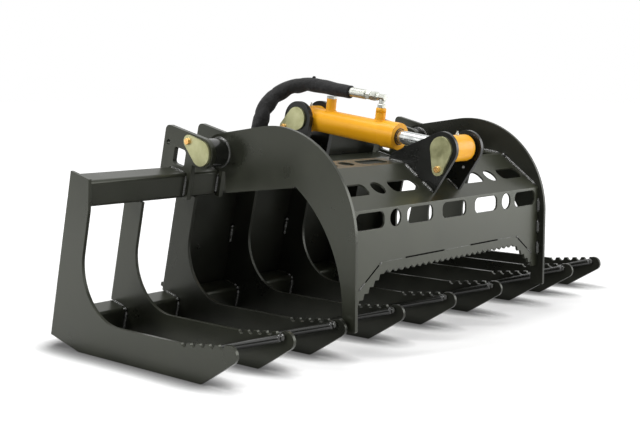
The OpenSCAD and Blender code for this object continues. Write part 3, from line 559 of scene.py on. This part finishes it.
def sleeve_radius(run, ang):
    """The folded sleeve's radius, at a run along it and an angle round it."""
    snake = FOLD_SNAKE * math.sin(ang * SNAKE_TURNS + run * SNAKE_RATE)
    fold = math.sin(run * FOLD_RATE + snake) * math.cos(ang - FOLD_SIDE) * FOLD_SHARE
    fold += math.sin(run * RIDGE_RATE + ang * RIDGE_TURNS) * RIDGE_SHARE
    bend = ramp(run, BEND_START, BEND_GROWTH)
    under = max(0.0, math.cos(ang - UNDER_SIDE)) * bend
    waves = abs(math.sin(run * GATHER_RATE + GATHER_SNAKE * math.sin(ang * GATHER_TURNS)))
    gather = (waves - GATHER_LEVEL) * GATHER_DEPTH * under
    ridge = max(0.0, math.sin(run * CREASE_RATE + ang * CREASE_TURNS)) ** CREASE_SHARPNESS
    crease = -CREASE_DEPTH * bend * ridge
    fat = sum(ramp(run, start, length) * share for start, length, share in FATTEN)
    plain = SLEEVE_FRONT_R + (SLEEVE_BACK_R - SLEEVE_FRONT_R) * fat
    return plain + FOLD_DEPTH * fold + gather + crease


def build_sleeve():
    """The cloth with its folds and its tied knot; also its length and its middle line."""
    line = spline(route, ROUTE_STEPS)
    n, sides = len(line), SLEEVE_SIDES
    fixed_r = {0: SLEEVE_END_R, 1: SLEEVE_HEM_R, n - 2: SLEEVE_HEM_R, n - 1: SLEEVE_END_R}
    fixed_t = {0: -AXIS, n - 1: Vector((0, math.sin(LEAN), -math.cos(LEAN)))}
    store, uvs, runs = Store(), [], []
    run = 0.0
    for i, p in enumerate(line):
        if i:
            run += (p - line[i - 1]).length
        runs.append(run)
        t = fixed_t[i] if i in fixed_t else (line[i + 1] - line[i - 1]).normalized()
        a = t.cross(ACROSS).normalized()
        b = t.cross(a)
        for k in range(sides):
            ang = math.tau * k / sides
            r = fixed_r[i] if i in fixed_r else sleeve_radius(run, ang)
            store.verts.append(polar(p, a, b, r, ang))
    for i in range(n - 1):
        for k in range(sides):
            corners = ((i, k), (i + 1, k), (i + 1, k + 1), (i, k + 1))
            store.faces.append(tuple(m * sides + q % sides for m, q in corners))
            uvs.append([(q / sides, runs[m] / UV_LENGTH) for m, q in corners])
    store.faces.append(tuple(range(sides)))
    store.faces.append(tuple((n - 1) * sides + k for k in reversed(range(sides))))
    uvs += [[(k / sides, 0.0) for k in range(sides)]] * 2
    lump(store, KNOT_AT, KNOT_SIZE, KNOT_SEED)
    uvs += [[(0.0, 0.0)] * 4] * (len(store.faces) - len(uvs))
    obj = new_mesh("hose_sleeve_cloth", store, sleeve_cloth)
    layer = obj.data.uv_layers.new(name="UVMap")
    flat = [place for face in uvs for place in face]
    for loop, place in zip(layer.data, flat):
        loop.uv = place
    return obj, runs[-1], line


sleeve, sleeve_len, sleeve_line = build_sleeve()
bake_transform(sleeve)
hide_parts("hose_sleeve")

# ---------------------------------------------------------------- hose fittings
LINE_UP = 0.09075  # the hose's end line above the cylinder's axis
FERRULE_R, GROOVE_R, TAIL_R = 0.0125, 0.0117, 0.0082
GROOVES, GROOVE_START, GROOVE_PITCH = 6, 0.010, 0.0062
FERRULE_Z, SWIVEL_Z, STUB_Z, UNION_Z, NECK_Z = 0.1375, 0.1915, 0.2050, 0.2080, 0.2250
ELBOW_LENGTH, ELBOW_FLATS = 0.0190, 0.0165
STEM_UP, STEM_NUT_UP = 0.0630, 0.0632
COLLAR_UP = 0.05075

crimps = [(0.0, 0.0105), (0.0005, 0.0122), (0.0040, FERRULE_R)]
for k in range(GROOVES):
    z = GROOVE_START + k * GROOVE_PITCH
    crimps += [(z, FERRULE_R), (z + 0.0008, GROOVE_R), (z + 0.0030, GROOVE_R)]
    crimps += [(z + 0.0038, FERRULE_R)]
crimps += [(0.0500, FERRULE_R), (0.0512, 0.0116), (0.0530, TAIL_R), (0.0560, TAIL_R)]
stub = [(0, 0.0085), (0.004, 0.0085)]
neck = [(0, 0.0088), (0.006, 0.0088), (0.010, 0.0076), (0.014, 0.0076)]
stem = [(0, 0.0085), (0.014, 0.0080), (0.026, 0.0074)]
collar_profile = [(0, 0.01352), (0.0115, 0.01352), (0.0127, 0.0126), (0.0130, 0.0100)]

metal, collar_store = Store(), Store()
lathe(metal, on_cylinder(FERRULE_Z, LINE_UP), AXIS, crimps)
nut(metal, on_cylinder(SWIVEL_Z, LINE_UP), AXIS, length=0.0135, flats=0.0200, start=0.2)
lathe(metal, on_cylinder(STUB_Z, LINE_UP), AXIS, stub)
nut(metal, on_cylinder(UNION_Z, LINE_UP), AXIS, length=0.0170, flats=0.0225, start=0.5)
lathe(metal, on_cylinder(NECK_Z, LINE_UP), AXIS, neck)
nut(metal, on_cylinder(PORT_Z - ELBOW_LENGTH / 2, LINE_UP), AXIS,
    length=ELBOW_LENGTH, flats=ELBOW_FLATS, start=math.pi / 6)
lathe(metal, on_cylinder(PORT_Z, STEM_UP), UP, stem)
nut(metal, on_cylinder(PORT_Z, STEM_NUT_UP), UP, length=0.0105, flats=0.0200, start=0.3)
lathe(collar_store, on_cylinder(PORT_Z, COLLAR_UP), UP, collar_profile)
fittings = new_mesh("hose_end_fittings", metal, bright_zinc, smooth=False)
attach(fittings, "barrel")
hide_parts("hose_ferrule", "elbow_fitting")
collar = new_mesh("front_port_collar", collar_store, orange)
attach(collar, "barrel")

# ---------------------------------------------------------------- rod wiper
WIPER_Z, WIPER_SIDES = 0.312, 64
LIP = [(0.0, 0.0216), (0.0020, 0.0214), (0.0024, 0.0206), (0.0020, 0.0198), (0.0, 0.0196)]
SEAT = [(0.0002, 0.0199), (0.0006, 0.0196), (0.0010, 0.0181), (0.0002, 0.01765)]


def wiper_ring(name, profile, mat):
    """A ring round the rod with a closed profile of (along, radius)."""
    store = Store()
    a, b = square_to(AXIS)
    for z, r in profile:
        centre = on_cylinder(WIPER_Z + z, 0)
        store.verts += [
            polar(centre, a, b, r, math.tau * k / WIPER_SIDES) for k in range(WIPER_SIDES)]
    store.join_rings(0, len(profile), WIPER_SIDES, closed=True)
    return new_mesh(name, store, mat)


wiper_lip = wiper_ring("rod_wiper_lip", LIP, rubber)
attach(wiper_lip, "barrel")
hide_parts("rod_wiper")
wiper_seat = wiper_ring("rod_wiper_seat", SEAT, orange)
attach(wiper_seat, "barrel")

# ---------------------------------------------------------------- welds of the frame
welds = {body: Store() for body in ("frame", "clamp", "barrel", "rod")}


def tine_sides():
    """Each tine's number, its middle, a side that faces another tine, and if it is an end one."""
    for i, x in enumerate(TINE_X):
        end = i in (0, len(TINE_X) - 1)
        for s in (-1, 1):
            if not (end and s * x > 0):
                yield i, x, s, end


def weld_across(x, v, span, r):
    """A bead across a tube's top or underside, from front to back."""
    bead(welds["frame"], [lean(x, u, v) for u in span], r)


def weld_up(x, u, span, r):
    """A bead up the front or back of a tube or plate."""
    bead(welds["frame"], [lean(x, u, v) for v in span], r)


END_ACROSS, END_UP, END_R = (-0.055, -0.009), (0.009, 0.055), 0.0042
TINE_ACROSS, TINE_UP = (-0.054, -0.010), (0.008, 0.056)
TOP_JOINT_R, LOWER_JOINT_R, FRONT_JOINT_R = 0.0038, 0.0046, 0.0074
FRONT_LUMP, FRONT_LUMP_V = (0.0072, 0.0060, 0.0050), 0.061
PLATE_TINES = (3, 4, 5)  # the numbers, from 0, of the tines that stand before the mounting plate
PLATE_UP, PLATE_U, PLATE_R = (0.168, 0.214), -0.004, 0.0066
PLATE_LUMP, PLATE_LUMP_U, PLATE_LUMP_V = (0.0080, 0.0074, 0.0064), -0.006, 0.217
FRONT_OUT, FRONT_LUMP_OUT = 0.001, 0.002  # off the tine's face; the lump sits as far back
PLATE_OUT, PLATE_LUMP_OUT = 0.002, 0.004
FRONT_SEED, PLATE_SEED = 0.3, 0.6
for i, x, s, end in tine_sides():
    face = x + s * TINE_HALF
    if end:
        for v in (0.0, TOP_V):
            up_span = [v + d for d in END_UP]
            weld_across(face, v, END_ACROSS, END_R)
            weld_up(face, -TUBE, up_span, END_R)
            weld_across(face, v + TUBE, END_ACROSS, END_R)
            weld_up(face, 0, up_span, END_R)
        continue
    weld_across(face, TOP_V, TINE_ACROSS, TOP_JOINT_R)
    weld_across(face, TUBE, TINE_ACROSS, LOWER_JOINT_R)
    weld_up(face + s * FRONT_OUT, -TUBE, TINE_UP, FRONT_JOINT_R)
    corner = lean(face + s * FRONT_LUMP_OUT, -TUBE + FRONT_LUMP_OUT, FRONT_LUMP_V)
    lump(welds["frame"], corner, FRONT_LUMP, i + FRONT_SEED * s)
    if i in PLATE_TINES:
        weld_up(face + s * PLATE_OUT, PLATE_U, PLATE_UP, PLATE_R)
        stop = lean(face + s * PLATE_LUMP_OUT, PLATE_LUMP_U, PLATE_LUMP_V)
        lump(welds["frame"], stop, PLATE_LUMP, i + PLATE_SEED * s)

EAR_ACROSS, EAR_ACROSS_R = (-0.056, -0.006), 0.0042
EAR_FRONT, EAR_FRONT_R = (0.006, 0.056), 0.0056
EAR_BACK, EAR_BACK_R = (0.040, 0.056), 0.0040
for x in PIVOT_EAR_X + BASE_EAR_X:
    for s in (-1, 1):
        face = x + s * EAR_HALF
        weld_across(face, TOP_V + TUBE, EAR_ACROSS, EAR_ACROSS_R)
        if x in PIVOT_EAR_X:
            weld_up(face, -TUBE, [TOP_V + d for d in EAR_FRONT], EAR_FRONT_R)
            weld_up(face, 0, [TOP_V + d for d in EAR_BACK], EAR_BACK_R)

# the wear rods: stitches above and below each, and a blob on its front end
ROD_TILT = math.radians(16)
ROD_ALONG = Vector((0, math.cos(ROD_TILT), -math.sin(ROD_TILT)))
ROD_ABOVE = Vector((0, math.sin(ROD_TILT), math.cos(ROD_TILT)))
ROD_FRONT_MM = (6, 82)
ROD_STITCHES, ROD_STITCH_R = ((0.012, 0.055), (0.085, 0.125), (0.155, 0.195)), 0.0028
ROD_STITCH_OUT, ROD_STITCH_UP = 0.0018, 0.0056
ROD_LUMP, ROD_LUMP_OUT = (0.0062, 0.0066, 0.0074), 0.0042
for i, x, s, end in tine_sides():
    start = side(x + s * (TINE_HALF + ROD_STITCH_OUT), *ROD_FRONT_MM)
    for e in (-1, 1):
        for span in ROD_STITCHES:
            line = [start + ROD_ALONG * d + ROD_ABOVE * e * ROD_STITCH_UP for d in span]
            bead(welds["frame"], line, ROD_STITCH_R)
    tip = side(x + s * (TINE_HALF + ROD_LUMP_OUT), *ROD_FRONT_MM)
    lump(welds["frame"], tip, ROD_LUMP, i + s)

# ---------------------------------------------------------------- welds of the clamp
# The sheet's outer line in the side view: its front facet ends at S1, its middle one at S2
# and its back one at S3.
MIDDLE_TILT, BACK_TILT = math.radians(37), math.radians(8)
MIDDLE_LENGTH, BACK_LENGTH = 0.143, 0.075
SHEET_Y_MM, SHEET_DROP_MM = -14, 116
S1 = side(0, SHEET_Y_MM, PIVOT.z * MM_PER_M - SHEET_DROP_MM)
S2 = S1 + Vector((0, math.cos(MIDDLE_TILT), math.sin(MIDDLE_TILT))) * MIDDLE_LENGTH
S3 = S2 + Vector((0, math.cos(BACK_TILT), math.sin(BACK_TILT))) * BACK_LENGTH


def at(p, x, shift=Vector((0, 0, 0))):
    """The point p moved to another x, and shifted."""
    return Vector((x, p.y, p.z)) + shift


ARM_X = 0.399
ARM_STITCHES, ARM_STITCH_R, ARM_STITCH_OUT = (
    ((0.146, 0.182), (0.206, 0.242), (0.264, 0.302)), 0.0075, -0.001)
ARM_BEAD_R, ARM_BEAD_START, ARM_BEAD_STOP = 0.0058, 0.010, 0.006
ARM_LUMP, ARM_LUMP_BACK, ARM_LUMP_IN = (0.0080, 0.0075, 0.0065), 0.004, 0.002
CLEVIS_X, CLEVIS_HALF, CLEVIS_OUT = 0.053, 0.005, 0.001
CLEVIS_SHARES, CLEVIS_R = ((0.21, 0.50), (0.60, 0.97)), 0.0052  # of the middle facet
CLEVIS_BACK_SHARES, CLEVIS_BACK_R = (0.03, 0.60), 0.0042
HUB_X, HUB_HALF = 0.4035, 0.0045  # an arm's middle and half its thickness
HUB_WELD_R, HUB_BEAD_R, HUB_POINTS = 0.0350, 0.0042, 72
clamp = welds["clamp"]
for s in (-1, 1):
    x = s * ARM_X
    for span in ARM_STITCHES:
        line = [at(S1, x, Vector((0, ARM_STITCH_OUT, z - S1.z))) for z in span]
        bead(clamp, line, ARM_STITCH_R)
    for p, q in ((S1, S2), (S2, S3)):
        d = (q - p).normalized()
        length = (q - p).length
        line = [at(p + d * ARM_BEAD_START, x), at(p + d * (length - ARM_BEAD_STOP), x)]
        bead(clamp, line, ARM_BEAD_R)
        bend = at(q - d * ARM_LUMP_BACK, x - s * ARM_LUMP_IN)
        lump(clamp, bend, ARM_LUMP, s + length)
    for f in (-1, 1):
        face = s * CLEVIS_X + f * CLEVIS_HALF
        for span in CLEVIS_SHARES:
            line = [at(S1, face + f * CLEVIS_OUT, (S2 - S1) * share) for share in span]
            bead(clamp, line, CLEVIS_R)
        line = [at(S2, face, (S3 - S2) * share) for share in CLEVIS_BACK_SHARES]
        bead(clamp, line, CLEVIS_BACK_R)
    for f in (-1, 1):
        centre = Vector((s * HUB_X + f * HUB_HALF, PIVOT.y, PIVOT.z))
        line = ring(centre, ACROSS, HUB_WELD_R, HUB_POINTS)
        bead(clamp, line, HUB_BEAD_R, closed=True)

# blade to sheet: painted shade as near-black beads along the open stretches of the joint, with
# short welds between them
BLADE_UP, HIP_X = 0.208, 0.2896  # the joint's level line, and where it turns down
SLOPE = Vector((0.094, 0, -0.064)).normalized()
SEAM_R, SEAM_BACK = 0.0024, 0.0012
LEVEL_SEAMS = ((-0.200, -0.040), (0.072, 0.200))
SLOPE_SEAM = (0.010, 0.072)
LEVEL_WELDS = ((-0.262, -0.206), (-0.034, 0.066), (0.206, 0.270))
LEVEL_WELD_R, LEVEL_WELD_BACK = 0.0023, 0.0021
SLOPE_WELDS, SLOPE_WELD_R = ((0.000, 0.010), (0.074, 0.100)), 0.0030
seams = Store()
for span in LEVEL_SEAMS:
    bead(seams, [(x, S1.y + SEAM_BACK, BLADE_UP) for x in span], SEAM_R)
for span in LEVEL_WELDS:
    bead(clamp, [(x, S1.y + LEVEL_WELD_BACK, BLADE_UP) for x in span], LEVEL_WELD_R)
for s in (-1, 1):
    slope = Vector((s * SLOPE.x, 0, SLOPE.z))
    hip = Vector((s * HIP_X, S1.y + SEAM_BACK, BLADE_UP))
    bead(seams, [hip + slope * d for d in SLOPE_SEAM], SEAM_R)
    for span in SLOPE_WELDS:
        bead(clamp, [hip + slope * d for d in span], SLOPE_WELD_R)

# ---------------------------------------------------------------- welds of the cylinder
SADDLE_POINTS, SADDLE_GAP = 72, 0.0006
BARREL_SWELL, ROD_SWELL = 1.02, 1.03  # a saddle's bead lies just outside its tube
BARREL_BEAD_R, ROD_BEAD_R = 0.0034, 0.0030
BOSS_R, BOSS_BEAD_R, BOSS_POINTS = 0.0140, 0.0026, 48
rod_len = (ROD_PIN - BASE_PIN).length


def saddle(tube_r, swell, place):
    """The line where a tube meets the cross tube of its eye; place turns its reach into z."""
    line = []
    for ang in turn(SADDLE_POINTS):
        x, up = tube_r * math.cos(ang), tube_r * math.sin(ang)
        reach = math.sqrt(EYE_R ** 2 - up ** 2)
        line.append(on_cylinder(place(reach), up * swell, x * swell))
    return line


def boss_foot(z):
    """The line where a port's boss meets the barrel."""
    line = []
    for ang in turn(BOSS_POINTS):
        x, dz = BOSS_R * math.cos(ang), BOSS_R * math.sin(ang)
        line.append(on_cylinder(z + dz, math.sqrt(BARREL_R ** 2 - x ** 2), x))
    return line


barrel_line = saddle(BARREL_R, BARREL_SWELL, lambda reach: reach + SADDLE_GAP)
bead(welds["barrel"], barrel_line, BARREL_BEAD_R, closed=True)
for z in (REAR_PORT_Z, PORT_Z):
    bead(welds["barrel"], boss_foot(z), BOSS_BEAD_R, closed=True)
rod_line = saddle(ROD_R, ROD_SWELL, lambda reach: rod_len - reach - SADDLE_GAP)
bead(welds["rod"], rod_line, ROD_BEAD_R, closed=True)

# painted shade: the near-black beads along the blade's joint
seam_shade_lines = new_mesh("blade_seam_shades", seams, seam_shade_black)
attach(seam_shade_lines, "clamp")
for body, store in welds.items():
    mat = orange if body in ("barrel", "rod") else weld_coat
    obj = new_mesh(f"weld_beads_{body}", store, mat)
    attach(obj, body)

# ---------------------------------------------------------------- floor, world and lamps
FLOOR_SIZE, FLOOR_Z = 60.0, -0.0002
# the second colour is the painted shadow's, which the floor's colour darkens to close to the part
FLOOR_PALE, FLOOR_PAINTED_SHADOW = (0.86, 0.86, 0.86), (0.02, 0.02, 0.02)
CONTACT, CONTACT_POWER, CONTACT_SAMPLES = 0.07, 4.5, 8  # the painted shadow close to the part, where occlusion darkens the floor's colour
GLOW_NEAR, GLOW_FAR = 0.12, 0.80  # the floor's own light, near the part and away from it
GLOW_START, GLOW_END = 0.9, 3.4  # distances from the origin between which it grows
BACKDROP, AMBIENT = 1.0, 0.32
LAMPS = (
    # name, place, aim, size, watts
    ("top_softbox", (-0.4, 0.3, 3.2), (0, 0, 0.2), (2.2, 1.8), 80),
    ("front_softbox", (2.3, -2.7, 1.3), (0, 0, 0.25), (3.4, 2.3), 95),
    ("left_softbox", (-3.3, 1.2, 1.9), (0, 0, 0.25), (0.8, 0.8), 58),
)


def seen_rays(tree):
    """1 for the rays that the picture is made of: camera, transmission and glossy rays."""
    path = add(tree, "LightPath").outputs
    straight = calc(tree, "MAXIMUM", path["Is Camera Ray"], path["Is Transmission Ray"])
    return calc(tree, "MAXIMUM", straight, path["Is Glossy Ray"])


def floor_material():
    """A matte pale floor that keeps its shadow, darkens to a painted shadow close to the part, and
    glows to white away from the part.
    """
    mat = bpy.data.materials.new("studio_floor")
    mat.use_nodes = True
    tree = mat.node_tree
    tree.nodes.clear()
    # painted shadow: ambient occlusion close to the part darkens the floor's colour
    near = add(tree, "AmbientOcclusion", {"Distance": CONTACT}, samples=CONTACT_SAMPLES)
    openness = calc(tree, "POWER", near.outputs["AO"], CONTACT_POWER)
    matte = add(tree, "BsdfDiffuse", {"Color": mix_colour(tree, openness, FLOOR_PAINTED_SHADOW, FLOOR_PALE)})
    away = add(tree, "VectorMath", {0: coordinate(tree, "Object")}, operation="LENGTH")
    glow = to_range(tree, away.outputs["Value"], GLOW_NEAR, GLOW_FAR, GLOW_START, GLOW_END)
    glow_seen = calc(tree, "MULTIPLY", seen_rays(tree), glow)
    light = add(tree, "Emission", {"Color": (*WHITE, 1.0), "Strength": glow_seen})
    both = add(tree, "AddShader", {0: matte.outputs[0], 1: light.outputs[0]})
    add(tree, "OutputMaterial", {"Surface": both.outputs[0]})
    return mat


def add_lamp(name, place, aim, size, watts):
    lamp = bpy.data.lights.new(name, "AREA")
    lamp.shape = "RECTANGLE"
    lamp.size, lamp.size_y = size
    lamp.energy = watts
    obj = bpy.data.objects.new(name, lamp)
    bpy.context.collection.objects.link(obj)
    obj.location = place
    obj.rotation_euler = (Vector(aim) - Vector(place)).to_track_quat("-Z", "Y").to_euler()


bpy.ops.mesh.primitive_plane_add(size=FLOOR_SIZE, location=(0, 0, FLOOR_Z))
floor = bpy.context.object
floor.name = "studio_floor"
floor.data.materials.append(floor_material())

world = bpy.data.worlds.new("studio")
bpy.context.scene.world = world
world.use_nodes = True
sky = world.node_tree
sky.nodes.clear()
seen = add(sky, "Background", {"Color": (*WHITE, 1.0), "Strength": BACKDROP})
ambient = add(sky, "Background", {"Color": (*WHITE, 1.0), "Strength": AMBIENT})
mixed = add(sky, "MixShader", {"Fac": seen_rays(sky), 1: ambient.outputs[0], 2: seen.outputs[0]})
add(sky, "OutputWorld", {"Surface": mixed.outputs[0]})

for lamp_row in LAMPS:
    add_lamp(*lamp_row)

scene = bpy.context.scene
scene.view_settings.view_transform = "Standard"
